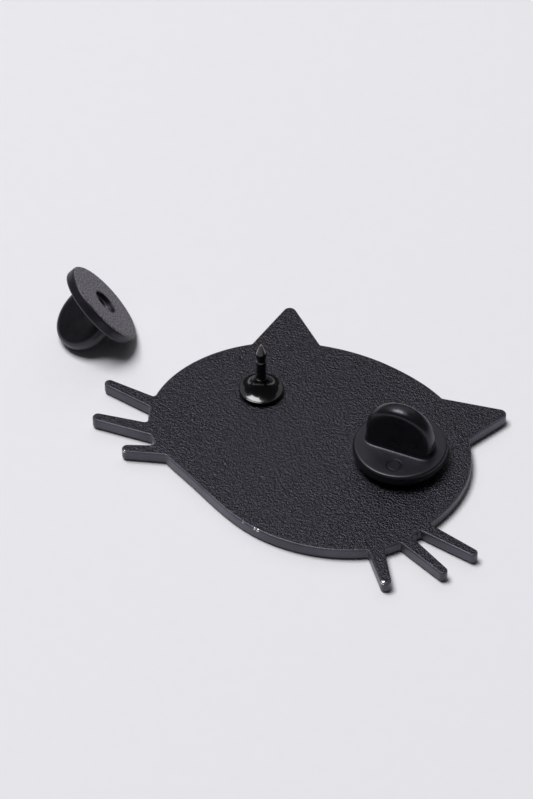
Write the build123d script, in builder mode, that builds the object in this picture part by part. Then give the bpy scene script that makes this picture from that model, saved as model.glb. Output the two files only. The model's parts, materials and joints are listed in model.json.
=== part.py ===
"""A die-struck cat's-head enamel pin that lies face down, with its posts and rubber clutches.

The frame: millimetres, +Z up through the back of the pin, with z = 0 on the raised metal lines of
the front face. +Y runs to the ears and +X from the left whiskers to the right ones, as they are
seen from the back. The origin is on the front plane, in the middle of the head.
"""
import os
from math import acos, atan2, cos, hypot, radians, sin

from build123d import *

os.makedirs("parts", exist_ok=True)

# Head of the plate
plate_thickness = 1.5
head_width = 36.8
head_height = 29.0
back_edge_radius = 0.2
front_edge_radius = 0.4
notch_radius = 0.35
# The head's slightly uneven oval, as shares of its half width and half height, from the crown round
# by the left cheek
oval_shape = [
    (0.00, 0.99),
    (-0.43, 0.88),
    (-0.80, 0.57),
    (-1.00, 0.12),
    (-1.01, -0.29),
    (-0.86, -0.63),
    (-0.49, -0.83),
    (0.08, -1.01),
    (0.50, -0.91),
    (0.71, -0.75),
    (0.83, -0.59),
    (0.90, -0.34),
    (0.94, -0.02),
    (0.91, 0.31),
    (0.80, 0.57),
    (0.41, 0.92),
]

# Ears: the corner on the outer side, the sharp apex before rounding and the corner on the inner side,
# as the same kind of shares
left_ear = ((-0.777, 0.276), (-0.788, 1.145), (-0.217, 0.717))
right_ear = ((0.663, 0.317), (0.842, 1.097), (0.217, 0.821))
ear_tip_radius = 0.75

# Whiskers: the root inside the head as such shares, the heading in degrees, and the widths at the root
# and the tip
whiskers = [
    ((-0.897, -0.344), 182.6, 1.85, 1.10),
    ((-0.806, -0.569), 196.3, 1.90, 1.20),
    ((-0.547, -0.603), 210.0, 1.75, 1.15),
    ((0.837, -0.291), -2.0, 1.60, 1.05),
    ((0.782, -0.447), -15.4, 1.70, 1.05),
    ((0.655, -0.544), -44.0, 2.10, 1.20),
]
whisker_length = 8.0

# Front: cells of enamel between raised metal lines
border = 0.9
metal_line = 0.4
recess_depth = 0.45
enamel_sink = 0.15
face_axis = -0.3
eye_spacing = 14.6
eye_height = 0.6
eye_length = 6.6
eye_opening = 4.6
eye_slant = 14.0
pupil_length = 3.4
pupil_width = 1.3
nose_radius = 1.7
nose_corner_radius = 0.5
nose_height = -4.4
mouth_radius = 1.7
mouth_drop = 1.3

# Posts
post_spacing = 18.2
post_axis = -0.15
post_rise = 2.9
solder_radius = 1.9
solder_height = 0.4
pad_radius = 2.48
pad_edge = 0.18
collar_wall = 0.17
shaft_radius = 0.55
root_flare = 0.1
needle_height = 7.35
point_length = 1.5
point_radius = 0.06
bulge_length = 0.55
neck_length = 0.75
neck_depth = 0.17

# Rubber clutches
flange_radius = 5.15
flange_thickness = 1.3
flange_top_radius = 0.35
flange_face_radius = 0.12
crest_wall = 0.27
grip_radius = 3.9
dome_rise = 0.25
grip_foot_half = 1.4
grip_waist_half = 1.0
grip_crest_half = 1.2
running_clearance = 0.05
pad_clearance = 0.15
throat_step = 0.5
throat_end_clearance = 0.1
bore_end_clearance = 0.08
mark_radius = 0.85
mark_width = 0.14
mark_depth = 0.08
mark_place = (0.6, -3.3)

# Where the clutches are
clutch_gap = 0.9
grip_turn = 10.6
loose_azimuth = 52.0
loose_offset = (-11.45, 2.3)

# Worked out
half_width = head_width / 2
half_height = head_height / 2
post_places = {
    "left": (post_axis - post_spacing / 2, post_rise),
    "right": (post_axis + post_spacing / 2, post_rise),
}
collar_radius = shaft_radius + collar_wall
root_radius = shaft_radius + root_flare
funnel_radius = pad_radius - collar_radius
funnel_foot = solder_height + pad_edge
pad_top = funnel_foot + funnel_radius
point_start = needle_height - point_length
neck_end = point_start - bulge_length
neck_start = neck_end - neck_length
neck_radius = shaft_radius - neck_depth
bore_radius = shaft_radius + running_clearance
bore_depth = needle_height - clutch_gap + bore_end_clearance
throat_depth = pad_top - clutch_gap + throat_end_clearance
clutch_height = bore_depth + crest_wall


def lens(length, height):
    """An almond of the given length and height, lying along X."""
    radius = (length**2 + height**2) / (4 * height)
    with BuildSketch() as almond:
        with Locations((0, radius - height / 2)):
            Circle(radius)
        with Locations((0, height / 2 - radius)):
            Circle(radius, mode=Mode.INTERSECT)
    return almond.sketch


def on_head(share):
    """The point of the plate at a share of the head's half width and half height."""
    return share[0] * half_width, share[1] * half_height


def ear_outline(corners):
    """A triangle whose middle corner is rounded."""
    with BuildSketch() as ear:
        with BuildLine():
            sides = FilletPolyline(*[on_head(corner) for corner in corners], radius=ear_tip_radius)
            Line(sides @ 1, sides @ 0)
        make_face()
    return ear.sketch


def whisker_outline(root_share, heading, root_width, tip_width):
    """A tapered finger with a round end, from inside the head out to its tip."""
    along = Vector(1, 0).rotate(Axis.Z, heading)
    across = Vector(0, 1).rotate(Axis.Z, heading)
    root = Vector(*on_head(root_share))
    end = root + along * whisker_length
    shoulder = end - along * (tip_width / 2)
    with BuildSketch() as finger:
        with BuildLine():
            Line(root + across * (root_width / 2), shoulder + across * (tip_width / 2))
            ThreePointArc(shoulder + across * (tip_width / 2), end, shoulder - across * (tip_width / 2))
            Line(shoulder - across * (tip_width / 2), root - across * (root_width / 2))
            Line(root - across * (root_width / 2), root + across * (root_width / 2))
        make_face()
    return finger.sketch


def head_oval(inset=0):
    """The oval of the head, drawn in by an inset."""
    with BuildSketch() as oval:
        with BuildLine():
            Spline(
                [(x * (half_width - inset), y * (half_height - inset)) for x, y in oval_shape],
                periodic=True,
            )
        make_face()
    return oval.sketch


def eye_cells(side):
    """The iris and the pupil of one eye, with a metal line between them."""
    place = Location((face_axis + side * eye_spacing / 2, eye_height, 0), (0, 0, side * eye_slant))
    with BuildSketch() as pupil:
        with Locations(place):
            with Locations(Location((0, 0, 0), (0, 0, 90))):
                add(lens(pupil_length, pupil_width))
    with BuildSketch() as opening:
        with Locations(place):
            add(lens(eye_length, eye_opening))
    with BuildSketch() as iris:
        add(opening.sketch)
        offset(pupil.sketch, amount=metal_line, mode=Mode.SUBTRACT)
    return opening.sketch, iris.sketch, pupil.sketch


def nose_cell():
    """A rounded triangle that points to the chin."""
    with BuildSketch() as nose:
        with Locations((face_axis, nose_height)):
            RegularPolygon(radius=nose_radius, side_count=3, rotation=-90)
        fillet(nose.vertices(), radius=nose_corner_radius)
    return nose.sketch


def mouth_lines():
    """Two hanging arcs and the short line that joins them to the nose."""
    lip_y = nose_height - nose_radius - mouth_drop
    with BuildSketch() as mouth:
        for side in (-1, 1):
            with BuildLine(mode=Mode.PRIVATE) as lip:
                CenterArc((face_axis + side * mouth_radius, lip_y), mouth_radius, 180, 180)
            SlotArc(lip.edge(), metal_line)
        with Locations((face_axis, lip_y)):
            Rectangle(metal_line, mouth_drop + nose_radius, align=(Align.CENTER, Align.MIN))
    return mouth.sketch


def ear_cell(corners):
    """The part of an ear inside its border and outside the line round the face."""
    with BuildSketch() as cell:
        offset(ear_outline(corners), amount=-border)
        add(head_oval(border - metal_line), mode=Mode.SUBTRACT)
    return cell.sketch


def front_cells():
    """Every enamel cell of the front by name."""
    cells = {"left_ear": ear_cell(left_ear), "right_ear": ear_cell(right_ear), "nose": nose_cell()}
    openings = []
    for name, side in (("left", -1), ("right", 1)):
        opening, cells[f"{name}_iris"], cells[f"{name}_pupil"] = eye_cells(side)
        openings.append(opening)
    with BuildSketch() as face:
        add(head_oval(border))
        for opening in openings:
            offset(opening, amount=metal_line, mode=Mode.SUBTRACT)
        offset(cells["nose"], amount=metal_line, mode=Mode.SUBTRACT)
        add(mouth_lines(), mode=Mode.SUBTRACT)
    cells["face"] = face.sketch
    return cells


def rubber_clutch():
    """One moulded clutch: its face on z = 0 with the hole at the origin, and its grip upwards along X."""
    crest_centre = clutch_height - grip_crest_half
    dome_centre = clutch_height + dome_rise - grip_radius
    mouth = pad_reach(clutch_gap) + pad_clearance
    throat = pad_reach(clutch_gap + throat_step) + pad_clearance
    with BuildPart() as clutch:
        # The grip is a dome of revolution cut down to a wing with pinched sides
        with BuildSketch(Plane.XZ):
            with BuildLine():
                foot = Line((0, flange_thickness), (grip_radius, flange_thickness))
                Line(foot @ 1, (grip_radius, dome_centre))
                CenterArc((0, dome_centre), grip_radius, 0, 90)
                Line((0, dome_centre + grip_radius), foot @ 0)
            make_face()
        revolve(axis=Axis.Z)
        with BuildSketch(Plane.YZ.offset(-flange_radius)):
            with BuildLine():
                near_foot = (-grip_foot_half, flange_thickness)
                far_foot = (grip_foot_half, flange_thickness)
                near_crest = (-grip_crest_half, crest_centre)
                far_crest = (grip_crest_half, crest_centre)
                waist = (flange_thickness + crest_centre) / 2
                Line(near_foot, far_foot)
                ThreePointArc(far_foot, (grip_waist_half, waist), far_crest)
                ThreePointArc(far_crest, (0, clutch_height), near_crest)
                ThreePointArc(near_crest, (-grip_waist_half, waist), near_foot)
            make_face()
        extrude(amount=2 * flange_radius, mode=Mode.INTERSECT)
        # The round flange
        with BuildSketch():
            Circle(flange_radius)
        extrude(amount=flange_thickness)
        fillet(clutch.faces().sort_by(Axis.Z)[0].edges(), flange_face_radius)
        shoulder = clutch.faces().filter_by(Plane.XY).group_by(Axis.Z)[-1]
        fillet(shoulder.edges().filter_by(GeomType.CIRCLE), flange_top_radius)
        # The hole for the post: a step and a taper that clear the pad, then the bore
        with BuildSketch(Plane.XZ):
            with BuildLine():
                Polyline(
                    (0, 0),
                    (mouth, 0),
                    (mouth, throat_step),
                    (throat, throat_step),
                    (collar_radius + pad_clearance, throat_depth),
                    (bore_radius, throat_depth),
                    (bore_radius, bore_depth),
                    (0, bore_depth),
                    close=True,
                )
            make_face()
        revolve(axis=Axis.Z, mode=Mode.SUBTRACT)
        # A shallow ring left by the ejector of the mould
        with BuildSketch(Plane.XY.offset(flange_thickness)):
            with Locations(mark_place):
                Circle(mark_radius)
                Circle(mark_radius - mark_width, mode=Mode.SUBTRACT)
        extrude(amount=-mark_depth, mode=Mode.SUBTRACT)
    return clutch.part


def pad_reach(height):
    """The radius of the post's pad at a height above the plate."""
    drop = pad_top - height
    return pad_radius - (funnel_radius**2 - drop**2) ** 0.5


def resting_tilt():
    """The tilt of a loose clutch's face when the flange's back edge and the crest both touch the floor."""
    edge_reach = flange_radius - flange_top_radius
    crest_lead = clutch_height - grip_crest_half - (flange_thickness - flange_top_radius)
    roll = grip_crest_half - flange_top_radius
    return acos(roll / hypot(edge_reach, crest_lead)) - atan2(crest_lead, edge_reach)


def save(piece, name):
    piece.label = name
    export_step(piece, f"parts/{name}.step")


# The plate
cells = front_cells()
with BuildPart() as base_plate:
    with BuildSketch():
        add(head_oval())
        for corners in (left_ear, right_ear):
            add(ear_outline(corners))
        for whisker in whiskers:
            add(whisker_outline(*whisker))
    extrude(amount=plate_thickness)
    notches = base_plate.edges().filter_by(Axis.Z).filter_by(lambda edge: edge.is_interior)
    fillet(notches, notch_radius)
    fillet(base_plate.faces().sort_by(Axis.Z)[-1].outer_wire().edges(), back_edge_radius)
    fillet(base_plate.faces().sort_by(Axis.Z)[0].outer_wire().edges(), front_edge_radius)
    with BuildSketch():
        for cell in cells.values():
            add(cell)
    extrude(amount=recess_depth, mode=Mode.SUBTRACT)
save(base_plate.part, "base_plate")

# The enamel
for cell_name, cell in cells.items():
    with BuildPart() as enamel:
        with BuildSketch(Plane.XY.offset(enamel_sink)):
            add(cell)
        extrude(amount=recess_depth - enamel_sink)
    save(enamel.part, f"enamel_{cell_name}")

# The posts
for side, (post_x, post_y) in post_places.items():
    back = Plane((post_x, post_y, plate_thickness))
    axis = Axis(back.origin, (0, 0, 1))
    section = Plane(back.origin, x_dir=(1, 0, 0), z_dir=(0, -1, 0))

    with BuildPart() as solder:
        with BuildSketch(back):
            Circle(solder_radius)
        extrude(amount=solder_height)
    save(solder.part, f"solder_{side}")

    with BuildPart() as pad:
        with BuildSketch(section):
            with BuildLine():
                Polyline(
                    (collar_radius, pad_top),
                    (shaft_radius, pad_top),
                    (root_radius, solder_height),
                    (pad_radius, solder_height),
                    (pad_radius, funnel_foot),
                )
                CenterArc((pad_radius, pad_top), funnel_radius, 180, 90)
            make_face()
        revolve(axis=axis)
    save(pad.part, f"post_pad_{side}")

    with BuildPart() as needle:
        with BuildSketch(section):
            with BuildLine():
                Polyline(
                    (0, needle_height),
                    (0, solder_height),
                    (root_radius, solder_height),
                    (shaft_radius, pad_top),
                    (shaft_radius, neck_start),
                )
                ThreePointArc(
                    (shaft_radius, neck_start),
                    (neck_radius, (neck_start + neck_end) / 2),
                    (shaft_radius, neck_end),
                )
                Polyline(
                    (shaft_radius, neck_end),
                    (shaft_radius, point_start),
                    (point_radius, needle_height - point_radius),
                    (0, needle_height),
                )
            make_face()
        revolve(axis=axis)
    save(needle.part, f"needle_{side}")

# The clutches
moulding = rubber_clutch()

right_x, right_y = post_places["right"]
with BuildPart() as clutch_fitted:
    with Locations(Location((right_x, right_y, plate_thickness + clutch_gap), (0, 0, grip_turn))):
        add(moulding)
save(clutch_fitted.part, "clutch_fitted")

tilt = resting_tilt()
rim_height = (flange_radius - flange_top_radius) * cos(tilt) + flange_top_radius
face_height = rim_height + (flange_thickness - flange_top_radius) * sin(tilt)
azimuth = radians(loose_azimuth)
outward = Vector(cos(azimuth) * cos(tilt), sin(azimuth) * cos(tilt), sin(tilt))
loose_x = loose_offset[0] - half_width
loose_y = loose_offset[1]
loose_seat = Plane((loose_x, loose_y, face_height), x_dir=(-sin(azimuth), cos(azimuth), 0), z_dir=-outward)
with BuildPart() as clutch_loose:
    with Locations(loose_seat):
        add(moulding)
save(clutch_loose.part, "clutch_loose")
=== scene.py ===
"""The looks of a cat's-head enamel pin that lies face down.

One rubber clutch is on its post and one lies beside the pin.
"""

import json
from math import cos, radians, sin, sqrt, tau

import bmesh
import bpy
from bpy.props import FloatProperty, FloatVectorProperty, IntProperty, PointerProperty
from mathutils import Matrix, Vector
from mathutils.bvhtree import BVHTree
from mathutils.geometry import delaunay_2d_cdt


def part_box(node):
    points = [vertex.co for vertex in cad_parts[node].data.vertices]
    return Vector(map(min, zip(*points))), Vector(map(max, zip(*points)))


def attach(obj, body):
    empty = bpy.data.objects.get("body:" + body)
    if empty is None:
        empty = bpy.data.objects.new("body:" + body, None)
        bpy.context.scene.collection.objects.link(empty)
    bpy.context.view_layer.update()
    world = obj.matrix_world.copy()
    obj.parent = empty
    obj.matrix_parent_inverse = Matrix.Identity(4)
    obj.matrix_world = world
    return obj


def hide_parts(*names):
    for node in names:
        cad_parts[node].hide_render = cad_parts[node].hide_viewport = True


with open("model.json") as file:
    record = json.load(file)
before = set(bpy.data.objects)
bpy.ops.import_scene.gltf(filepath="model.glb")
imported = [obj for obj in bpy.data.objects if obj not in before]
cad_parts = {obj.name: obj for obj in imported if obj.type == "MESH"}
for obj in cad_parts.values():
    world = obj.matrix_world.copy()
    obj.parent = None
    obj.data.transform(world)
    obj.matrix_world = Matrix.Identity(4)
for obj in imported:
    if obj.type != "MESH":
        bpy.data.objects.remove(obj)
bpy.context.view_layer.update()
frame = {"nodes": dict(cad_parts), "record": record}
MOUNTS = {mount["name"]: mount for mount in frame["record"]["mounts"]}

bl_info = {
    "name": "Enamel pin looks",
    "version": (1, 0, 0),
    "blender": (4, 5, 0),
    "location": "3D View > Sidebar > Enamel pin",
    "description": "Finishes an enamel pin, its posts and its rubber clutches",
    "category": "Object",
}

MM = 0.001
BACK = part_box("base_plate")[1][2]
SHAFT_RADIUS = MOUNTS["bare_post"]["dims"]["r_mm"] * MM
# The cool cast of the light that black plating and rubber throw back
COOL = (0.86, 0.84, 1.0, 1.0)
ENAMEL_CELLS = {
    "enamel_face": "enamel_face",
    "enamel_left_ear": "enamel_ear",
    "enamel_right_ear": "enamel_ear",
    "enamel_nose": "enamel_ear",
    "enamel_left_iris": "enamel_iris",
    "enamel_right_iris": "enamel_iris",
    "enamel_left_pupil": "enamel_pupil",
    "enamel_right_pupil": "enamel_pupil",
}


def linear(code):
    """The linear colour of an sRGB hex value."""
    shares = [int(code[i : i + 2], 16) / 255 for i in (1, 3, 5)]
    return tuple(c / 12.92 if c <= 0.04045 else ((c + 0.055) / 1.055) ** 2.4 for c in shares)


def colour(name, description, code):
    """A colour setting whose default is an sRGB hex value."""
    return FloatVectorProperty(
        name=name, description=description, subtype="COLOR", size=3, min=0, max=1, default=linear(code)
    )


def size(name, description, value):
    """A length setting, given in millimetres and kept in metres."""
    return FloatProperty(
        name=name,
        description=description,
        default=value * MM,
        min=0,
        subtype="DISTANCE",
        unit="LENGTH",
        precision=5,
    )


def add_node(tree, kind, values=None, out=0, **settings):
    """Adds a node with its settings, gives its inputs values or links, and returns one of its outputs."""
    node = tree.nodes.new(kind)
    for key, value in settings.items():
        setattr(node, key, value)
    for key, value in (values or {}).items():
        socket = node.inputs[key]
        if isinstance(value, bpy.types.NodeSocket):
            tree.links.new(value, socket)
        elif socket.type == "RGBA" and len(value) == 3:
            socket.default_value = (*value, 1)
        else:
            socket.default_value = value
    return node.outputs[out] if node.outputs else node


def work_out(tree, known, rule):
    """Works out the lines of a rule in order. A line is a name, an operation and its terms, which are
    numbers or the names of what is known by then."""
    for name, operation, *terms in rule:
        values = {i: known.get(term, term) for i, term in enumerate(terms)}
        known[name] = add_node(tree, "ShaderNodeMath", values, operation=operation)
    return known


# ---------------------------------------------------------------- settings


class PinPlateSettings(bpy.types.PropertyGroup):
    back_colour: colour("Back", "Black plating on the sand-struck back", "#09080e")
    # The walls are the same black plating as the back; this lighter grey is a painted sheen
    wall_painted_sheen_colour: colour("Walls", "Black plating on the smooth walls", "#5a5963")
    bare_colour: colour("Bare metal", "Iron that shows where the plating is rubbed off", "#d9d6d4")
    line_colour: colour("Lines", "Black plating on the raised lines of the front", "#1c1c20")
    pebble: size("Pebble", "Spacing of the fine bumps that the die leaves on the back", 0.265)
    pebble_height: size("Pebble height", "Height of those bumps", 0.042)


class PinEnamelSettings(bpy.types.PropertyGroup):
    face_colour: colour("Face", "Grey enamel of the face", "#8b8d93")
    ear_colour: colour("Ears", "Pink enamel of the ears and the nose", "#d4868f")
    iris_colour: colour("Irises", "Green enamel of the irises", "#6fae73")
    pupil_colour: colour("Pupils", "Black enamel of the pupils", "#111113")
    climb: size("Climb", "How far the enamel climbs the metal lines", 0.07)
    climb_width: size("Climb width", "Width of the stretch in which it climbs", 0.22)
    spacing: size("Spacing", "Spacing of the points of the enamel surface", 0.34)


class PinPostSettings(bpy.types.PropertyGroup):
    post_colour: colour("Posts", "Glossy black plating of the posts", "#0b0b0e")
    tip_colour: colour("Tips", "Brass that shows at the ground tips", "#c99a5b")
    solder_colour: colour("Solder", "Blackened solder round the feet", "#17171a")
    segments: IntProperty(
        name="Segments", description="Sides of each turned piece", default=96, min=12, max=256
    )
    edge: size("Pad edge", "Thickness of the pad at its rim", 0.18)
    solder_wave: size("Solder wave", "Unevenness of the solder's edge", 0.10)


class PinClutchSettings(bpy.types.PropertyGroup):
    rubber_colour: colour("Rubber", "Black moulded rubber", "#101013")
    bloom_colour: colour("Bloom", "Dull skin on the flat face of a clutch", "#87848c")
    grip_turn: FloatProperty(
        name="Grip turn",
        description="Turn of the fitted clutch's grip",
        default=radians(10.6),
        subtype="ANGLE",
    )
    bore_middle: size("Bore middle", "From the face of a clutch to the middle of its bore", 4.035)
    cell: size("Cell", "Size of the cells in which the moulding is made", 0.08)
    gloss: FloatProperty(
        name="Roughness", description="Roughness of the moulded skin", default=0.20, min=0, max=1
    )
    mark_x: FloatProperty(
        name="Mark X", description="Place of the ejector's mark", default=0.6 * MM, unit="LENGTH"
    )
    mark_y: FloatProperty(
        name="Mark Y", description="Place of the ejector's mark", default=-3.3 * MM, unit="LENGTH"
    )
    mark_radius: size("Mark radius", "Radius of the ejector's mark", 0.78)


class PinStageSettings(bpy.types.PropertyGroup):
    paper_colour: colour("Paper", "Pale paper under the pin", "#f0eff4")
    camera_tilt: FloatProperty(
        name="Camera tilt", description="From straight down", default=radians(45), subtype="ANGLE"
    )
    camera_turn: FloatProperty(
        name="Camera turn", description="About the vertical", default=radians(34), subtype="ANGLE"
    )
    camera_place: FloatVectorProperty(
        name="Camera place",
        description="Where the camera stands",
        size=3,
        subtype="TRANSLATION",
        unit="LENGTH",
        default=(0.16623, -0.25621, 0.31320),
    )
    sky_colour: colour("Sky", "Colour of the light all round", "#f6f6fb")
    sky_strength: FloatProperty(
        name="Sky strength", description="Strength of that light", default=0.05, min=0
    )
    lens: FloatProperty(
        name="Lens", description="Focal length in millimetres", default=180.2, min=10, max=400
    )


# Softboxes: azimuth from the camera's right and elevation in degrees, then distance, width and height
# in metres, then power in watts
SOFTBOXES = (
    ("overhead_softbox", 158.0, 73.0, 1.50, 0.72, 0.72, 19.6),
    ("backdrop", 92.0, 47.0, 1.60, 2.20, 1.10, 3.9),
)

# Where the plating is rubbed off along the edge of the back: x, y and reach in millimetres
RUBBED_SPOTS = (
    (-0.35, -14.60, 0.24),
    (0.15, -14.62, 0.24),
    (1.75, -14.66, 0.26),
    (2.15, -14.68, 0.32),
    (-16.55, -13.05, 0.32),
    (17.30, -13.55, 0.40),
)


# Posts: the wall of the pad's collar, how far its flank is drawn towards a cone, where the needle's neck
# starts and ends below its top, how deep the neck is, and how long the point is
COLLAR_WALL = 0.17 * MM
CONE_SHARE = 0.18
NECK_FROM_TOP = (2.05 * MM, 2.8 * MM)
NECK_DEPTH = 0.09 * MM
POINT_LENGTH = 1.5 * MM


# ---------------------------------------------------------------- materials


def new_material(name, pattern_place=None):
    """An empty material: its tree, its surface shader and the coordinates of its patterns, which are the
    Object ones or a named attribute of the piece."""
    material = bpy.data.materials.new(name)
    material.use_nodes = True
    tree = material.node_tree
    tree.nodes.clear()
    surface = add_node(tree, "ShaderNodeBsdfPrincipled")
    add_node(tree, "ShaderNodeOutputMaterial", {"Surface": surface})
    if pattern_place:
        place = add_node(tree, "ShaderNodeAttribute", out="Vector", attribute_name=pattern_place)
    else:
        place = add_node(tree, "ShaderNodeTexCoord", out="Object")
    return material, tree, surface.node, place


def clouds(tree, place, spacings):
    """Fixed noises whose blobs stand the given distances apart, by name."""
    return {
        name: add_node(
            tree,
            "ShaderNodeTexNoise",
            {"Vector": place, "Scale": 1 / spacing, "Detail": 2.5, "Roughness": 0.55},
        )
        for name, spacing in spacings.items()
    }


def paint(tree, shader, known, finish, relief=None):
    """Links worked-out values to the surface: colours by layers, then the other sockets, then the bump."""
    colours, sockets = finish
    tone = colours[0]
    for share, layer in colours[1:]:
        tone = add_node(tree, "ShaderNodeMix", {0: known[share], 6: tone, 7: layer}, out=2, data_type="RGBA")
    tree.links.new(tone, shader.inputs["Base Color"])
    for socket, value in sockets.items():
        if value in known:
            tree.links.new(known[value], shader.inputs[socket])
        else:
            shader.inputs[socket].default_value = value
    if relief:
        name, height = relief
        bump = add_node(tree, "ShaderNodeBump", {"Height": known[name], "Strength": 1.0, "Distance": height})
        tree.links.new(bump, shader.inputs["Normal"])


def between(name, value, low, high):
    """The lines of a rule that map low to high onto nought to one, clamped."""
    return (
        (name + "_raw", "SUBTRACT", value, low),
        (name + "_share", "DIVIDE", name + "_raw", high - low),
        (name + "_floor", "MAXIMUM", name + "_share", 0.0),
        (name, "MINIMUM", name + "_floor", 1.0),
    )


def plating_material(look):
    """Black dyed plating on die-struck iron: a pebbled back with a low sheen, smooth walls whose satin sheen
    is painted into their colour as a lighter grey, and bright bare iron where the edges have rubbed."""
    material, tree, shader, place = new_material("black_plating_on_iron")
    normal = add_node(tree, "ShaderNodeNewGeometry", out="Normal")
    spacings = {"pebbles": look.pebble, "grit": look.pebble / 2.6, "broad": 6 * MM, "crumbs": 0.3 * MM}
    known = clouds(tree, place, spacings)
    known["facing"] = add_node(tree, "ShaderNodeSeparateXYZ", {0: normal}, out="Z")
    known["height"] = add_node(tree, "ShaderNodeSeparateXYZ", {0: place}, out="Z")
    # Rubbed stretches on the edge of the back
    known["rubbed"] = 0.0
    edge = BACK - 0.08 * MM
    for i, (x, y, reach) in enumerate(RUBBED_SPOTS):
        known["away"] = add_node(
            tree,
            "ShaderNodeVectorMath",
            {0: place, 1: (x * MM, y * MM, edge)},
            out="Value",
            operation="DISTANCE",
        )
        work_out(
            tree,
            known,
            (
                *between(f"near_{i}", "away", reach * MM, reach * 0.5 * MM),
                ("rubbed", "MAXIMUM", "rubbed", f"near_{i}"),
            ),
        )
    work_out(
        tree,
        known,
        (
            *between("back", "facing", 0.90, 0.99),
            *between("front", "height", 0.5 * MM, 0.3 * MM),
            *between("cloudy", "broad", 0.3, 0.9),
            ("fine", "MULTIPLY", "grit", 0.45),
            ("pebbled", "ADD", "pebbles", "fine"),
            ("even", "MULTIPLY_ADD", "back", 0.93, 0.07),
            ("relief", "MULTIPLY", "pebbled", "even"),
            ("broken", "MULTIPLY", "rubbed", "crumbs"),
            *between("bare", "broken", 0.38, 0.48),
            ("dull", "MULTIPLY_ADD", "back", -0.04, 0.32),
            ("bright", "MULTIPLY", "bare", -0.2),
            ("roughness", "ADD", "dull", "bright"),
        ),
    )
    layers = (
        # Walls: the same black plating, painted lighter grey as a sheen; the back, the front lines and the
        # bare iron are laid over them
        look.wall_painted_sheen_colour,
        ("back", look.back_colour),
        ("cloudy", tuple(c * 0.85 for c in look.back_colour)),
        ("front", look.line_colour),
        ("bare", look.bare_colour),
    )
    sockets = {"Metallic": "bare", "Roughness": "roughness", "Specular Tint": COOL}
    paint(tree, shader, known, (layers, sockets), ("relief", look.pebble_height * 3))
    return material


def enamel_material(name, tint):
    """Soft enamel, poured and baked: clear gloss over an even colour with faint clouds and a slow ripple."""
    material, tree, shader, place = new_material(name)
    known = clouds(tree, place, {"broad": 3.5 * MM, "specks": 0.35 * MM, "ripple": 2.2 * MM})
    work_out(
        tree,
        known,
        (
            *between("cloudy", "broad", 0.3, 1.6),
            ("roughness", "MULTIPLY_ADD", "specks", 0.10, 0.07),
        ),
    )
    layers = (tuple(tint), ("cloudy", tuple(c * 0.6 for c in tint)))
    sockets = {"Roughness": "roughness", "IOR": 1.52, "Coat Weight": 0.4, "Coat Roughness": 0.05}
    paint(tree, shader, known, (layers, sockets), ("ripple", 0.015 * MM))
    return material


def post_material(look):
    """Black nickel plating, buffed: a near mirror with fine turning rings, worn to brass at the very
    point."""
    material, tree, shader, place = new_material("buffed_black_nickel")
    known = clouds(tree, place, {"smudge": 0.9 * MM, "uneven": 0.5 * MM})
    known["height"] = add_node(tree, "ShaderNodeSeparateXYZ", {0: place}, out="Z")
    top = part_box("needle_left")[1][2]
    work_out(
        tree,
        known,
        (
            *between("tip", "height", top - 0.32 * MM, top - 0.1 * MM),
            ("roughness", "MULTIPLY_ADD", "smudge", 0.20, 0.10),
            ("phase", "MULTIPLY", "height", tau / (0.12 * MM)),
            ("rings", "SINE", "phase"),
            ("metallic", "MULTIPLY_ADD", "tip", 0.65, 0.35),
            ("relief", "MULTIPLY_ADD", "rings", 0.06, "uneven"),
        ),
    )
    layers = (look.post_colour, ("tip", look.tip_colour))
    sockets = {"Metallic": "metallic", "Roughness": "roughness", "Coat Weight": 0.7, "Coat Roughness": 0.08}
    paint(tree, shader, known, (layers, sockets), ("relief", 0.010 * MM))
    return material


def solder_material(look):
    """Solder under the same black plating: a lumpy skin whose lumps are painted lighter as small glints."""
    material, tree, shader, place = new_material("plated_solder")
    known = clouds(tree, place, {"lumps": 0.35 * MM})
    work_out(
        tree,
        known,
        (*between("light", "lumps", 0.35, 0.8), ("roughness", "MULTIPLY_ADD", "lumps", 0.35, 0.06)),
    )
    # Painted glints: the lighter lumps are lifted 2.2 times in colour to stand in for small highlights
    layers = (look.solder_colour, ("light", tuple(c * 2.2 for c in look.solder_colour)))
    sockets = {"Metallic": 0.3, "Roughness": "roughness", "Coat Weight": 0.4}
    paint(tree, shader, known, (layers, sockets), ("lumps", 0.09 * MM))
    return material


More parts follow.
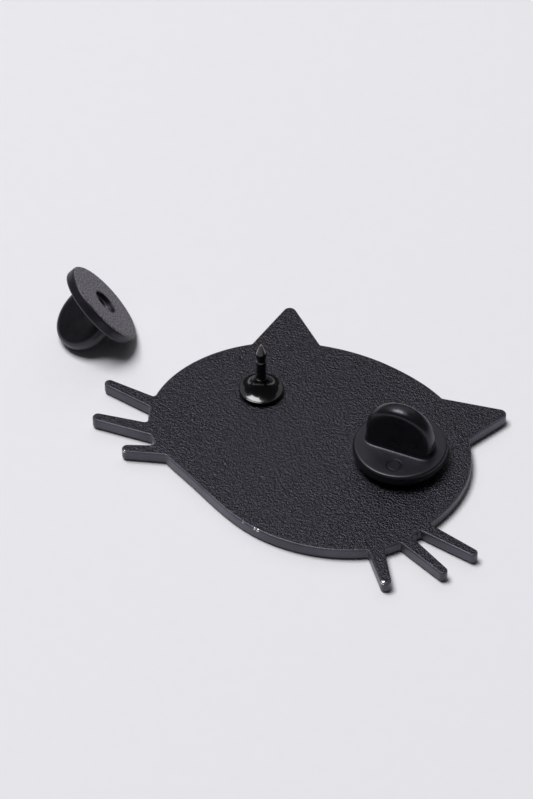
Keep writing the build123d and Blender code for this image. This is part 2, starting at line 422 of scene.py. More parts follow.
def rubber_material(look):
    """Moulded black rubber: a satin skin with faint flow marks, and a dull speckled bloom on the flat
    face. The patterns follow the moulding's own place, which the mesh keeps, so both clutches are
    alike."""
    material, tree, shader, place = new_material("moulded_black_rubber", "moulding_place")
    known = clouds(tree, place, {"specks": 0.24 * MM, "flow": 1.9 * MM})
    known["x"], known["y"], known["z"] = (
        add_node(tree, "ShaderNodeSeparateXYZ", {0: place}, out=axis) for axis in "XYZ"
    )
    work_out(
        tree,
        known,
        (
            ("xx", "MULTIPLY", "x", "x"),
            ("square", "MULTIPLY_ADD", "y", "y", "xx"),
            ("reach", "SQRT", "square"),
            *between("low", "z", 0.14 * MM, 0.06 * MM),
            *between("wide", "reach", 1.66 * MM, 1.74 * MM),
            *between("patchy", "specks", 0.32, 0.68),
            ("face", "MULTIPLY", "low", "wide"),
            # The step inside the mouth of the hole has the same bloom
            *between("step", "z", 0.60 * MM, 0.53 * MM),
            *between("in_mouth", "reach", 1.44 * MM, 1.36 * MM),
            *between("off_bore", "reach", 1.08 * MM, 1.16 * MM),
            ("ring", "MULTIPLY", "in_mouth", "off_bore"),
            ("stepped", "MULTIPLY", "step", "ring"),
            ("bloomed", "MULTIPLY_ADD", "stepped", 0.55, "face"),
            ("bloom", "MULTIPLY", "bloomed", "patchy"),
            *between("cloudy", "flow", 0.3, 0.9),
            ("skin", "MULTIPLY_ADD", "flow", 0.20, look.gloss),
            *between("flange", "z", 1.5 * MM, 1.1 * MM),
            ("dulled", "MULTIPLY_ADD", "flange", 0.12, "skin"),
            ("roughness", "MULTIPLY_ADD", "face", 0.22, "dulled"),
            # The ring that the mould's ejector leaves on the flange
            ("mark_x", "SUBTRACT", "x", look.mark_x),
            ("mark_y", "SUBTRACT", "y", look.mark_y),
            ("mark_xx", "MULTIPLY", "mark_x", "mark_x"),
            ("mark_square", "MULTIPLY_ADD", "mark_y", "mark_y", "mark_xx"),
            ("mark_reach", "SQRT", "mark_square"),
            ("mark_off", "SUBTRACT", "mark_reach", look.mark_radius),
            ("mark_away", "ABSOLUTE", "mark_off"),
            *between("mark_line", "mark_away", 0.14 * MM, 0.05 * MM),
            *between("mark_top", "z", 1.0 * MM, 1.2 * MM),
            ("mark", "MULTIPLY", "mark_line", "mark_top"),
            ("grain", "MULTIPLY_ADD", "specks", 0.4, "flow"),
            ("relief", "MULTIPLY_ADD", "mark", -3.0, "grain"),
        ),
    )
    layers = (
        look.rubber_colour,
        ("cloudy", tuple(c * 1.35 for c in look.rubber_colour)),
        ("bloom", look.bloom_colour),
    )
    sockets = {"Roughness": "roughness", "IOR": 1.52, "Specular Tint": COOL}
    paint(tree, shader, known, (layers, sockets), ("relief", 0.02 * MM))
    return material


# ---------------------------------------------------------------- Geometry Nodes


def new_tree(name, sizes, geometry_input=True):
    """A Geometry Nodes tree with a Material input, and float inputs by name and default."""
    tree = bpy.data.node_groups.new(name, "GeometryNodeTree")
    sockets = tree.interface
    if geometry_input:
        sockets.new_socket("Geometry", in_out="INPUT", socket_type="NodeSocketGeometry")
    sockets.new_socket("Geometry", in_out="OUTPUT", socket_type="NodeSocketGeometry")
    sockets.new_socket("Material", in_out="INPUT", socket_type="NodeSocketMaterial")
    for key, (kind, default) in sizes.items():
        socket = sockets.new_socket(key, in_out="INPUT", socket_type=kind)
        if default is not None:
            socket.default_value = default
    return tree, tree.nodes.new("NodeGroupInput").outputs, tree.nodes.new("NodeGroupOutput")


def finish_tree(tree, given, result, shape):
    """Ends a tree in Realize Instances and Set Material."""
    real = add_node(tree, "GeometryNodeRealizeInstances", {"Geometry": shape})
    painted = add_node(tree, "GeometryNodeSetMaterial", {"Geometry": real, "Material": given["Material"]})
    tree.links.new(painted, result.inputs["Geometry"])


def turned_tree():
    """Turns a profile curve about Z and sets a copy on each point of the holder's mesh. The outline may
    waver by a seeded noise, as solder does."""
    tree, given, result = new_tree(
        "Turned piece",
        {
            "Profile": ("NodeSocketObject", None),
            "Rings": ("NodeSocketInt", 32),
            "Segments": ("NodeSocketInt", 96),
            "Waver": ("NodeSocketFloat", 0.0),
            "Seed": ("NodeSocketFloat", 3.0),
        },
    )
    spot = add_node(tree, "GeometryNodeInputPosition")
    known = {
        "rings": given["Rings"],
        "segments": given["Segments"],
        "waver": given["Waver"],
        "u": add_node(tree, "ShaderNodeSeparateXYZ", {0: spot}, out="X"),
        "v": add_node(tree, "ShaderNodeSeparateXYZ", {0: spot}, out="Y"),
    }
    work_out(
        tree,
        known,
        (
            ("rows", "ADD", "segments", 1.0),
            ("last", "SUBTRACT", "rings", 1.0),
            ("along", "ADD", "v", 0.5),
            ("place", "MULTIPLY", "along", "last"),
            ("step", "ROUND", "place"),
            ("turn", "MULTIPLY", "u", tau),
            ("across", "COSINE", "turn"),
            ("up", "SINE", "turn"),
        ),
    )
    profile = add_node(tree, "GeometryNodeObjectInfo", {"Object": given["Profile"]}, out="Geometry")
    outline = add_node(tree, "GeometryNodeSampleIndex", data_type="FLOAT_VECTOR", domain="POINT")
    sample = outline.node
    for key, value in (("Geometry", profile), ("Value", spot), ("Index", known["step"])):
        tree.links.new(value, next(i for i in sample.inputs if i.name == key and i.enabled))
    known["radius"] = add_node(tree, "ShaderNodeSeparateXYZ", {0: outline}, out="X")
    known["level"] = add_node(tree, "ShaderNodeSeparateXYZ", {0: outline}, out="Z")
    ring_place = add_node(
        tree, "ShaderNodeCombineXYZ", {"X": known["across"], "Y": known["up"], "Z": given["Seed"]}
    )
    known["noise"] = add_node(tree, "ShaderNodeTexNoise", {"Vector": ring_place, "Scale": 1.6, "Detail": 3.0})
    work_out(
        tree,
        known,
        (
            ("swing", "SUBTRACT", "noise", 0.5),
            ("wave", "MULTIPLY", "swing", "waver"),
            ("waved", "MULTIPLY_ADD", "wave", 2.0, "radius"),
            ("off_axis", "GREATER_THAN", "radius", 1e-7),
            ("reach", "MULTIPLY", "waved", "off_axis"),
            ("x", "MULTIPLY", "reach", "across"),
            ("y", "MULTIPLY", "reach", "up"),
        ),
    )
    grid = add_node(
        tree,
        "GeometryNodeMeshGrid",
        {"Size X": 1.0, "Size Y": 1.0, "Vertices X": known["rows"], "Vertices Y": given["Rings"]},
    )
    place = add_node(tree, "ShaderNodeCombineXYZ", {"X": known["x"], "Y": known["y"], "Z": known["level"]})
    turned = add_node(tree, "GeometryNodeSetPosition", {"Geometry": grid, "Position": place})
    welded = add_node(tree, "GeometryNodeMergeByDistance", {"Geometry": turned, "Distance": 1e-6})
    smooth = add_node(tree, "GeometryNodeSetShadeSmooth", {"Geometry": welded, "Shade Smooth": True})
    copies = add_node(tree, "GeometryNodeInstanceOnPoints", {"Points": given["Geometry"], "Instance": smooth})
    finish_tree(tree, given, result, copies)
    return tree


def enamel_tree():
    """Lets an enamel surface climb the metal lines: a point rises towards the rim of its cell. A flat
    sheet on the floor of the recess goes with it."""
    tree, given, result = new_tree(
        "Poured enamel",
        {
            "Climb": ("NodeSocketFloat", 0.0),
            "Width": ("NodeSocketFloat", 0.001),
            "Depth": ("NodeSocketFloat", 0.001),
        },
    )
    sheet = given["Geometry"]
    neighbours = add_node(tree, "GeometryNodeInputMeshEdgeNeighbors")
    on_rim = add_node(tree, "FunctionNodeCompare", {2: neighbours, 3: 1}, data_type="INT", operation="EQUAL")
    rim = add_node(tree, "GeometryNodeMeshToCurve", {"Mesh": sheet, "Selection": on_rim})
    rim_mesh = add_node(tree, "GeometryNodeCurveToMesh", {"Curve": rim})
    away = add_node(tree, "GeometryNodeProximity", {0: rim_mesh}, out="Distance", target_element="EDGES")
    known = work_out(
        tree,
        {"away": away, "width": given["Width"], "climb": given["Climb"]},
        (
            ("share", "DIVIDE", "away", "width"),
            ("fall", "MULTIPLY", "share", -1.0),
            ("near", "EXPONENT", "fall"),
            ("rise", "MULTIPLY", "near", "climb"),
            ("down", "MULTIPLY", "rise", -1.0),
        ),
    )
    lift = add_node(tree, "ShaderNodeCombineXYZ", {"Z": known["down"]})
    depth = add_node(tree, "ShaderNodeCombineXYZ", {"Z": given["Depth"]})
    top = add_node(tree, "GeometryNodeSetPosition", {"Geometry": sheet, "Offset": lift})
    top = add_node(tree, "GeometryNodeSetShadeSmooth", {"Geometry": top, "Shade Smooth": True})
    bottom = add_node(tree, "GeometryNodeSetPosition", {"Geometry": sheet, "Offset": depth})
    bottom = add_node(tree, "GeometryNodeFlipFaces", {"Mesh": bottom})
    shape = add_node(tree, "GeometryNodeJoinGeometry", {"Geometry": top})
    tree.links.new(bottom, shape.node.inputs["Geometry"])
    finish_tree(tree, given, result, shape)
    return tree


# The clutch as a distance rule: how far a point at x, y, z is outside the moulding. The wing is a slab
# with pinched sides inside an arch, and it grows out of the flange.
MOULDING_RULE = (
    ("xx", "MULTIPLY", "x", "x"),
    ("square", "MULTIPLY_ADD", "y", "y", "xx"),
    ("reach", "SQRT", "square"),
    # Flange
    ("half", "MULTIPLY", "Flange thickness", 0.5),
    ("rim", "SUBTRACT", "Flange radius", "Flange rounding"),
    ("rim_off", "SUBTRACT", "reach", "rim"),
    ("level", "SUBTRACT", "z", "half"),
    ("level_away", "ABSOLUTE", "level"),
    ("half_inner", "SUBTRACT", "half", "Flange rounding"),
    ("level_off", "SUBTRACT", "level_away", "half_inner"),
    ("rim_out", "MAXIMUM", "rim_off", 0.0),
    ("level_out", "MAXIMUM", "level_off", 0.0),
    ("rim_out_square", "MULTIPLY", "rim_out", "rim_out"),
    ("out_square", "MULTIPLY_ADD", "level_out", "level_out", "rim_out_square"),
    ("out", "SQRT", "out_square"),
    ("deepest", "MAXIMUM", "rim_off", "level_off"),
    ("inner", "MINIMUM", "deepest", 0.0),
    ("flange_core", "ADD", "out", "inner"),
    ("flange", "SUBTRACT", "flange_core", "Flange rounding"),
    # Rim of the wing: an arch with upright ends and a crowned tread
    ("arch_centre", "SUBTRACT", "Height", "Grip radius"),
    ("above", "SUBTRACT", "z", "arch_centre"),
    ("over", "MAXIMUM", "above", 0.0),
    ("arch_square", "MULTIPLY_ADD", "over", "over", "xx"),
    ("arch_reach", "SQRT", "arch_square"),
    ("tread_core", "SUBTRACT", "Grip radius", "Crown radius"),
    ("tread_off", "SUBTRACT", "arch_reach", "tread_core"),
    ("tread_out", "MAXIMUM", "tread_off", 0.0),
    ("yy", "MULTIPLY", "y", "y"),
    ("tread_square", "MULTIPLY_ADD", "tread_out", "tread_out", "yy"),
    ("tread_reach", "SQRT", "tread_square"),
    ("tread", "SUBTRACT", "tread_reach", "Crown radius"),
    # Slab with pinched sides
    ("crest_edge", "SUBTRACT", "Height", "Crest drop"),
    ("span", "SUBTRACT", "crest_edge", "Flange thickness"),
    ("climb", "SUBTRACT", "z", "Flange thickness"),
    ("climb_share", "DIVIDE", "climb", "span"),
    ("ends", "ADD", "Foot half", "Crest half"),
    ("pinch", "MULTIPLY_ADD", "Waist half", -2.0, "ends"),
    ("bend", "MULTIPLY", "pinch", 2.0),
    ("taper", "SUBTRACT", "Crest half", "Foot half"),
    ("slope", "SUBTRACT", "taper", "bend"),
    ("curve", "MULTIPLY_ADD", "bend", "climb_share", "slope"),
    ("half_width", "MULTIPLY_ADD", "curve", "climb_share", "Foot half"),
    ("side", "ABSOLUTE", "y"),
    ("slab", "SUBTRACT", "side", "half_width"),
    # Wing on the flange
    ("wing_high", "SMOOTH_MAX", "slab", "tread", "Edge softness"),
    ("below", "SUBTRACT", "half", "z"),
    ("wing", "MAXIMUM", "wing_high", "below"),
    ("body", "SMOOTH_MIN", "flange", "wing", "Foot fillet"),
    # Stepped hole for the post
    ("mouth_side", "SUBTRACT", "reach", "Mouth radius"),
    ("mouth_end", "SUBTRACT", "z", "Mouth depth"),
    ("mouth", "MAXIMUM", "mouth_side", "mouth_end"),
    ("throat_run", "SUBTRACT", "Throat depth", "Mouth depth"),
    ("throat_narrowing", "SUBTRACT", "Throat radius", "Throat end radius"),
    ("throat_slope", "DIVIDE", "throat_narrowing", "throat_run"),
    ("throat_wall", "MULTIPLY_ADD", "mouth_end", "throat_slope", "reach"),
    ("throat_side", "SUBTRACT", "throat_wall", "Throat radius"),
    ("throat_end", "SUBTRACT", "z", "Throat depth"),
    ("throat", "MAXIMUM", "throat_side", "throat_end"),
    ("bore_side", "SUBTRACT", "reach", "Bore radius"),
    ("bore_end", "SUBTRACT", "z", "Bore depth"),
    ("bore", "MAXIMUM", "bore_side", "bore_end"),
    ("wide_hole", "MINIMUM", "mouth", "throat"),
    ("hole", "MINIMUM", "wide_hole", "bore"),
    ("web", "MULTIPLY", "hole", -1.0),
    ("outside", "SMOOTH_MAX", "body", "web", "Hole softness"),
    ("depth", "MULTIPLY", "outside", -1 / MM),
    ("density", "ADD", "depth", 0.5),
)
MOULDING_SIZES = {
    "Flange radius": 5.15,
    "Flange thickness": 1.3,
    "Flange rounding": 0.3,
    "Height": 6.8,
    "Grip radius": 3.9,
    "Foot half": 1.4,
    "Waist half": 1.0,
    "Crest half": 1.08,
    "Crest drop": 0.55,
    "Crown radius": 1.75,
    "Edge softness": 0.8,
    "Foot fillet": 0.4,
    "Mouth radius": 1.52,
    "Mouth depth": 0.5,
    "Throat radius": 1.18,
    "Throat end radius": 0.87,
    "Throat depth": 1.54,
    "Bore radius": 0.6,
    "Bore depth": 6.53,
    "Hole softness": 0.08,
}


def moulding_tree():
    """Fills a block of cells by the moulding's rule, takes its skin, and keeps each point's place in it."""
    lengths = {name: ("NodeSocketFloat", value * MM) for name, value in MOULDING_SIZES.items()}
    tree, given, result = new_tree("Moulded clutch", {**lengths, "Cell": ("NodeSocketFloat", 0.1 * MM)})
    place = add_node(tree, "GeometryNodeInputPosition")
    known = {axis.lower(): add_node(tree, "ShaderNodeSeparateXYZ", {0: place}, out=axis) for axis in "XYZ"}
    known.update({name: given[name] for name in (*lengths, "Cell")})
    work_out(
        tree,
        known,
        (
            *MOULDING_RULE,
            ("far", "ADD", "Flange radius", 0.3 * MM),
            ("near", "MULTIPLY", "far", -1.0),
            ("top", "ADD", "Height", 0.3 * MM),
            ("tall", "ADD", "top", 0.3 * MM),
            ("wide", "MULTIPLY", "far", 2.0),
            ("cells_wide", "DIVIDE", "wide", "Cell"),
            ("cells_tall", "DIVIDE", "tall", "Cell"),
        ),
    )
    low = add_node(tree, "ShaderNodeCombineXYZ", {"X": known["near"], "Y": known["near"], "Z": -0.3 * MM})
    high = add_node(tree, "ShaderNodeCombineXYZ", {"X": known["far"], "Y": known["far"], "Z": known["top"]})
    block = add_node(
        tree,
        "GeometryNodeVolumeCube",
        {
            "Density": known["density"],
            "Min": low,
            "Max": high,
            "Resolution X": known["cells_wide"],
            "Resolution Y": known["cells_wide"],
            "Resolution Z": known["cells_tall"],
        },
    )
    skin = add_node(tree, "GeometryNodeVolumeToMesh", {"Volume": block, "Threshold": 0.5, "Adaptivity": 0.0})
    smooth = add_node(tree, "GeometryNodeSetShadeSmooth", {"Geometry": skin, "Shade Smooth": True})
    kept = add_node(
        tree,
        "GeometryNodeStoreNamedAttribute",
        {"Geometry": smooth, "Name": "moulding_place", "Value": place},
        data_type="FLOAT_VECTOR",
        domain="POINT",
    )
    finish_tree(tree, given, result, kept)
    return tree


def made_by_tree(holder, tree, name, **sizes):
    """The plain mesh that a tree makes of a holder object, as a new object. The holder is removed."""
    modifier = holder.modifiers.new("shape", "NODES")
    modifier.node_group = tree
    for item in tree.interface.items_tree:
        if item.item_type == "SOCKET" and item.in_out == "INPUT" and item.name in sizes:
            modifier[item.identifier] = sizes[item.name]
    bpy.context.view_layer.update()
    evaluated = holder.evaluated_get(bpy.context.evaluated_depsgraph_get())
    mesh = bpy.data.meshes.new_from_object(evaluated)
    mesh.name = name
    bpy.data.objects.remove(holder)
    return show(mesh, name)


# ---------------------------------------------------------------- mesh helpers


def show(mesh, name):
    """Puts a mesh in the scene under a name."""
    piece = bpy.data.objects.new(name, mesh)
    bpy.context.scene.collection.objects.link(piece)
    return piece


def polyline_object(points, name):
    """A poly curve through points, as a profile for turning."""
    curve = bpy.data.curves.new(name, "CURVE")
    curve.dimensions = "3D"
    spline = curve.splines.new("POLY")
    spline.points.add(len(points) - 1)
    for point, place in zip(spline.points, points):
        point.co = (place[0], 0, place[1], 1)
    holder = bpy.data.objects.new(name, curve)
    bpy.context.scene.collection.objects.link(holder)
    return holder


def arc(centre, radius, start, end, count):
    """Points on an arc in a profile, from one angle to another in degrees."""
    return [
        (centre[0] + radius * cos(radians(a)), centre[1] + radius * sin(radians(a)))
        for a in (start + (end - start) * i / count for i in range(count + 1))
    ]


def outward(mesh):
    """Merges doubles and turns every face outwards."""
    work = bmesh.new()
    work.from_mesh(mesh)
    bmesh.ops.remove_doubles(work, verts=work.verts, dist=1e-7)
    bmesh.ops.recalc_face_normals(work, faces=work.faces)
    work.to_mesh(mesh)
    work.free()


# ---------------------------------------------------------------- operators


class PIN_OT_plate(bpy.types.Operator):
    """Gives the plate its black plating"""

    bl_idname = "pin.plate"
    bl_label = "Plate"

    def execute(self, context):
        plate = frame["nodes"]["base_plate"]
        plate.material_slots[0].material = plating_material(context.scene.pin_plate)
        return {"FINISHED"}


def cell_outline(node):
    """The rim of an enamel cell's front face, as a work mesh of its flat face."""
    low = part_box(node)[0][2]
    work = bmesh.new()
    work.from_mesh(frame["nodes"][node].data)
    bmesh.ops.remove_doubles(work, verts=work.verts, dist=1e-7)
    off = [f for f in work.faces if any(abs(v.co.z - low) > 1e-6 for v in f.verts)]
    bmesh.ops.delete(work, geom=off, context="FACES")
    return work, low


def even_sheet(node, spacing):
    """The flat front of an enamel cell, cut into even triangles."""
    work, low = cell_outline(node)
    rim = [e for e in work.edges if len(e.link_faces) == 1]
    index = {}
    points, edges = [], []
    for edge in rim:
        pair = []
        for vert in edge.verts:
            if vert not in index:
                index[vert] = len(points)
                points.append(Vector((vert.co.x / MM, vert.co.y / MM)))
            pair.append(index[vert])
        edges.append(pair)
    rim_points = [p.copy() for p in points]
    step = spacing / MM
    xs, ys = [p.x for p in points], [p.y for p in points]
    keep = step * 0.45
    grid = {}
    for p in rim_points:
        grid.setdefault((int(p.x // step), int(p.y // step)), []).append(p)
    row = 0
    y = min(ys)
    while y < max(ys):
        x = min(xs) + (step / 2 if row % 2 else 0)
        while x < max(xs):
            here = (int(x // step), int(y // step))
            near = [
                q for i in (-1, 0, 1) for j in (-1, 0, 1) for q in grid.get((here[0] + i, here[1] + j), ())
            ]
            if all((q.x - x) ** 2 + (q.y - y) ** 2 > keep * keep for q in near):
                points.append(Vector((x, y)))
            x += step
        y += step * sqrt(3) / 2
        row += 1
    verts, _, faces, _, _, _ = delaunay_2d_cdt(points, edges, [], 1, 1e-5)
    sheet = bmesh.new()
    made = [sheet.verts.new((v.x * MM, v.y * MM, low)) for v in verts]
    inside = TriangleField(work)
    for face in faces:
        middle = sum((verts[i] for i in face), Vector((0, 0))) / len(face)
        if inside.holds(middle.x * MM, middle.y * MM):
            sheet.faces.new([made[i] for i in reversed(face)])
    work.free()
    loose = [v for v in sheet.verts if not v.link_faces]
    bmesh.ops.delete(sheet, geom=loose, context="VERTS")
    mesh = bpy.data.meshes.new(node + "_sheet")
    sheet.to_mesh(mesh)
    sheet.free()
    return mesh


class TriangleField:
    """Tells whether a point lies in the flat face of a cell."""

    def __init__(self, work):
        self.tree = BVHTree.FromBMesh(work)
        self.high = max(v.co.z for v in work.verts) + MM

    def holds(self, x, y):
        return self.tree.ray_cast(Vector((x, y, self.high)), Vector((0, 0, -1)))[0] is not None


class PIN_OT_enamel(bpy.types.Operator):
    """Pours the enamel cells of the front"""

    bl_idname = "pin.enamel"
    bl_label = "Enamel"

    def execute(self, context):
        look = context.scene.pin_enamel
        paints = {
            "enamel_face": enamel_material("grey_soft_enamel", look.face_colour),
            "enamel_ear": enamel_material("pink_soft_enamel", look.ear_colour),
            "enamel_iris": enamel_material("green_soft_enamel", look.iris_colour),
            "enamel_pupil": enamel_material("black_soft_enamel", look.pupil_colour),
        }
        tree = enamel_tree()
        for node, slot in ENAMEL_CELLS.items():
            low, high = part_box(node)
            mesh = even_sheet(node, look.spacing if node == "enamel_face" else look.spacing / 2)
            pool = made_by_tree(
                show(mesh, node + "_holder"),
                tree,
                "poured_" + node,
                Material=paints[slot],
                Climb=look.climb,
                Width=look.climb_width,
                Depth=high[2] - low[2],
            )
            close_sides(pool.data)
            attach(pool, "pin")
            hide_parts(node)
        return {"FINISHED"}


def close_sides(mesh):
    """Joins the two sheets of an enamel pool along their rims."""
    work = bmesh.new()
    work.from_mesh(mesh)
    rim = [e for e in work.edges if len(e.link_faces) == 1]
    above = {}
    for edge in rim:
        key = tuple(sorted((round(v.co.x * 1e8), round(v.co.y * 1e8)) for v in edge.verts))
        above.setdefault(key, []).append(edge)
    for pair in above.values():
        if len(pair) == 2:
            first, second = pair[0].verts, pair[1].verts
            a, b = first
            c, d = second
            if (a.co.xy - c.co.xy).length > (a.co.xy - d.co.xy).length:
                c, d = d, c
            work.faces.new((a, b, d, c))
    bmesh.ops.recalc_face_normals(work, faces=work.faces)
    work.to_mesh(mesh)
    work.free()


class PIN_OT_posts(bpy.types.Operator):
    """Turns the solder feet, the flared pads and the needles of the two posts"""

    bl_idname = "pin.posts"
    bl_label = "Posts"

    def execute(self, context):
        look = context.scene.pin_posts
        feet = bpy.data.meshes.new("post_feet")
        feet.from_pydata([self.foot(side) for side in ("left", "right")], [], [])
        tree = turned_tree()
        plated = post_material(look)
        soldered = solder_material(look)
        for name, node, profile, material, slot, waver in (
            ("solder_feet", "solder", self.solder(), soldered, "solder", look.solder_wave),
            ("flared_pads", "post_pad", self.pad(look), plated, "pad_plating", 0.0),
            ("pointed_needles", "needle", self.needle(), plated, "needle_steel", 0.0),
        ):
            outline = polyline_object(profile, name + "_outline")
            piece = made_by_tree(
                show(feet.copy(), name + "_holder"),
                tree,
                name,
                Material=material,
                Profile=outline,
                Rings=len(profile),
                Segments=look.segments,
                Waver=waver,
            )
            bpy.data.objects.remove(outline)
            outward(piece.data)
            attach(piece, "pin")
            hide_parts(node + "_left", node + "_right")
        return {"FINISHED"}

    @staticmethod
    def foot(side):
        """The middle of a post on the back of the plate."""
        low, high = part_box(f"needle_{side}")
        return (low[0] + high[0]) / 2, (low[1] + high[1]) / 2, BACK

    @staticmethod
    def spans(node):
        """The radius, the bottom and the top of a turned node above the back of the plate."""
        low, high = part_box(node)
        return (high[0] - low[0]) / 2, low[2] - BACK, high[2] - BACK

    def solder(self):
        """A shallow fillet of solder that spreads on the plate and tucks in under the pad."""
        radius, low, high = self.spans("solder_left")
        waist = radius * 0.90
        return [
            (0, low - 0.02 * MM),
            (radius * 1.06, low - 0.02 * MM),
            (radius * 1.06, low + 0.02 * MM),
            (radius * 1.00, low + 0.10 * MM),
            (waist, (low + high) / 2),
            (waist * 0.98, high - 0.08 * MM),
            (waist, high),
            (0, high),
        ]

    def pad(self, look):
        """The flared pad: a thin rim, a hollow flank and a collar with a rounded lip."""
        radius, low, high = self.spans("post_pad_left")
        collar = SHAFT_RADIUS + COLLAR_WALL
        edge = look.edge
        lip = 0.05 * MM
        sweep = radius - collar
        bowl = arc((radius, low + edge + sweep), sweep, 268, 183, 26)
        # A quarter round, drawn a little towards a straight cone
        steps = [sweep * i / (len(bowl) - 1) for i in range(len(bowl))]
        flank = [
            (r + (radius - step - r) * CONE_SHARE, z + (low + edge + step - z) * CONE_SHARE)
            for step, (r, z) in zip(steps, bowl)
        ]
        return [
            (0, low),
            (radius - edge, low),
            *arc((radius - edge / 2, low + edge / 2), edge / 2, -90, 60, 8),
            *flank,
            *arc((collar - lip, high - lip), lip, 0, 90, 4),
            (SHAFT_RADIUS - 0.02 * MM, high),
            (SHAFT_RADIUS - 0.02 * MM, high - 0.2 * MM),
            (0, high - 0.2 * MM),
        ]

    def needle(self):
        """The shaft with its neck, its bulge and its long point."""
        radius = SHAFT_RADIUS
        _, low, high = self.spans("needle_left")
        neck_low, neck_high = high - NECK_FROM_TOP[1], high - NECK_FROM_TOP[0]
        neck = radius - NECK_DEPTH
        point = high - POINT_LENGTH
        sweep = [
            (
                radius - (radius - neck) * (0.5 - 0.5 * cos(tau * i / 16)),
                neck_low + (neck_high - neck_low) * i / 16,
            )
            for i in range(17)
        ]
        cone = [
            (radius * (1 - t) ** 0.92 + 0.045 * MM * t, point + (high - 0.05 * MM - point) * t)
            for t in (i / 12 for i in range(13))
        ]
        return [
            (0, low),
            (radius, low),
            (radius, (low + neck_low) / 2),
            *sweep,
            (radius, neck_high + 0.25 * MM),
            *cone,
            *arc((0, high - 0.05 * MM), 0.045 * MM, 30, 90, 3),
        ]


def seat_of(axis, point, across):
    """A placement whose Z looks along axis, whose X is across, and whose origin is a point."""
    depth = Vector(axis).normalized()
    wide = Vector(across).normalized()
    side = depth.cross(wide)
    turn = Matrix((wide, side, depth)).transposed().to_4x4()
    return Matrix.Translation(point) @ turn


class PIN_OT_clutches(bpy.types.Operator):
    """Moulds the fitted and the loose rubber clutch"""

    bl_idname = "pin.clutches"
    bl_label = "Clutches"

    def execute(self, context):
        look = context.scene.pin_clutches
        rubber = rubber_material(look)
        holder = show(bpy.data.meshes.new("moulding_holder"), "moulding_holder")
        made = made_by_tree(holder, moulding_tree(), "moulding", Cell=look.cell, Material=rubber)
        moulding = made.data
        bpy.data.objects.remove(made)
        low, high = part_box("clutch_fitted")
        seat = ((low[0] + high[0]) / 2, (low[1] + high[1]) / 2, low[2])
        fitted_seat = Matrix.Translation(seat) @ Matrix.Rotation(look.grip_turn, 4, "Z")
        bore = MOUNTS["loose_clutch_bore"]
        facing = Vector(bore["axis"]).normalized()
        face_centre = Vector(bore["pos_m"]) + facing * look.bore_middle
        loose_seat = seat_of(-facing, face_centre, (-facing.y, facing.x, 0))
        for node, seat in (("clutch_fitted", fitted_seat), ("clutch_loose", loose_seat)):
            mesh = moulding.copy()
            mesh.transform(seat)
            piece = show(mesh, "moulded_" + node)
            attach(piece, node)
            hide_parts(node)
        return {"FINISHED"}


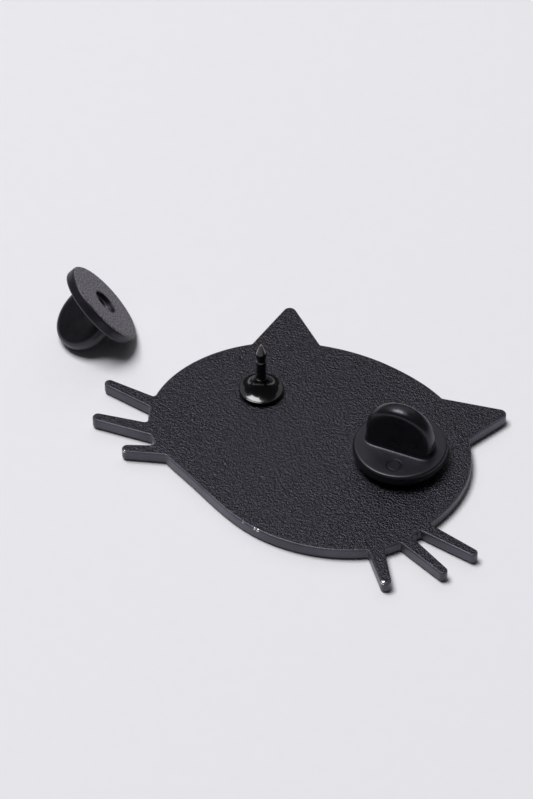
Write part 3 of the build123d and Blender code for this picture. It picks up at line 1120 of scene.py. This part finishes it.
class PIN_OT_stage(bpy.types.Operator):
    """Lays the paper and sets the lights and the camera"""

    bl_idname = "pin.stage"
    bl_label = "Stage"

    def execute(self, context):
        look = context.scene.pin_stage
        scene = context.scene
        scene.view_settings.view_transform = "Standard"
        # Paper
        mesh = bpy.data.meshes.new("paper")
        reach = 3.0
        corners = [(-reach, -reach, 0), (reach, -reach, 0), (reach, reach, 0), (-reach, reach, 0)]
        mesh.from_pydata(corners, [], [(0, 1, 2, 3)])
        paper = show(mesh, "paper")
        material, tree, shader, place = new_material("matt_paper")
        known = clouds(tree, place, {"fibre": 2 * MM})
        work_out(tree, known, (*between("tint", "fibre", 0.3, 9.0),))
        layers = (look.paper_colour, ("tint", tuple(c * 0.8 for c in look.paper_colour)))
        paint(tree, shader, known, (layers, {"Roughness": 0.9, "Specular IOR Level": 0.1}))
        mesh.materials.append(material)
        # Soft daylight all round
        world = bpy.data.worlds.new("studio")
        scene.world = world
        world.use_nodes = True
        sky = world.node_tree.nodes["Background"]
        sky.inputs["Color"].default_value = (*look.sky_colour, 1)
        sky.inputs["Strength"].default_value = look.sky_strength
        for name, azimuth, elevation, distance, wide, tall, power in SOFTBOXES:
            light = bpy.data.lights.new(name, "AREA")
            light.shape = "RECTANGLE"
            light.size, light.size_y = wide, tall
            light.energy = power
            lamp = bpy.data.objects.new(name, light)
            scene.collection.objects.link(lamp)
            turn = look.camera_turn + radians(azimuth)
            rise = radians(elevation)
            lamp.location = Vector((cos(turn) * cos(rise), sin(turn) * cos(rise), sin(rise))) * distance
            lamp.rotation_euler = (-lamp.location).to_track_quat("-Z", "Y").to_euler()
        # Camera
        camera = bpy.data.cameras.new("camera")
        camera.lens = look.lens
        camera.sensor_width = 36
        camera.clip_start = 0.01
        camera.clip_end = 20
        stand = bpy.data.objects.new("camera", camera)
        scene.collection.objects.link(stand)
        stand.location = look.camera_place
        stand.rotation_euler = (look.camera_tilt, 0, look.camera_turn)
        scene.camera = stand
        return {"FINISHED"}


class PIN_PT_looks(bpy.types.Panel):
    """Lists the steps that finish the pin"""

    bl_label = "Enamel pin"
    bl_idname = "PIN_PT_looks"
    bl_space_type = "VIEW_3D"
    bl_region_type = "UI"
    bl_category = "Enamel pin"

    def draw(self, context):
        layout = self.layout
        for step, settings in STEPS:
            layout.operator(step.bl_idname)
            group = getattr(context.scene, settings)
            for key in group.bl_rna.properties.keys():
                if key not in ("rna_type", "name"):
                    layout.prop(group, key)


STEPS = (
    (PIN_OT_stage, "pin_stage"),
    (PIN_OT_plate, "pin_plate"),
    (PIN_OT_enamel, "pin_enamel"),
    (PIN_OT_posts, "pin_posts"),
    (PIN_OT_clutches, "pin_clutches"),
)
SETTINGS = {
    "pin_stage": PinStageSettings,
    "pin_plate": PinPlateSettings,
    "pin_enamel": PinEnamelSettings,
    "pin_posts": PinPostSettings,
    "pin_clutches": PinClutchSettings,
}


def register():
    for kind in (*SETTINGS.values(), *(step for step, _ in STEPS), PIN_PT_looks):
        bpy.utils.register_class(kind)
    for name, kind in SETTINGS.items():
        setattr(bpy.types.Scene, name, PointerProperty(type=kind))


def unregister():
    for name in SETTINGS:
        delattr(bpy.types.Scene, name)
    for kind in reversed((*SETTINGS.values(), *(step for step, _ in STEPS), PIN_PT_looks)):
        bpy.utils.unregister_class(kind)


def main():
    register()
    for step, _ in STEPS:
        group, name = step.bl_idname.split(".")
        getattr(getattr(bpy.ops, group), name)()


if __name__ == "__main__":
    main()
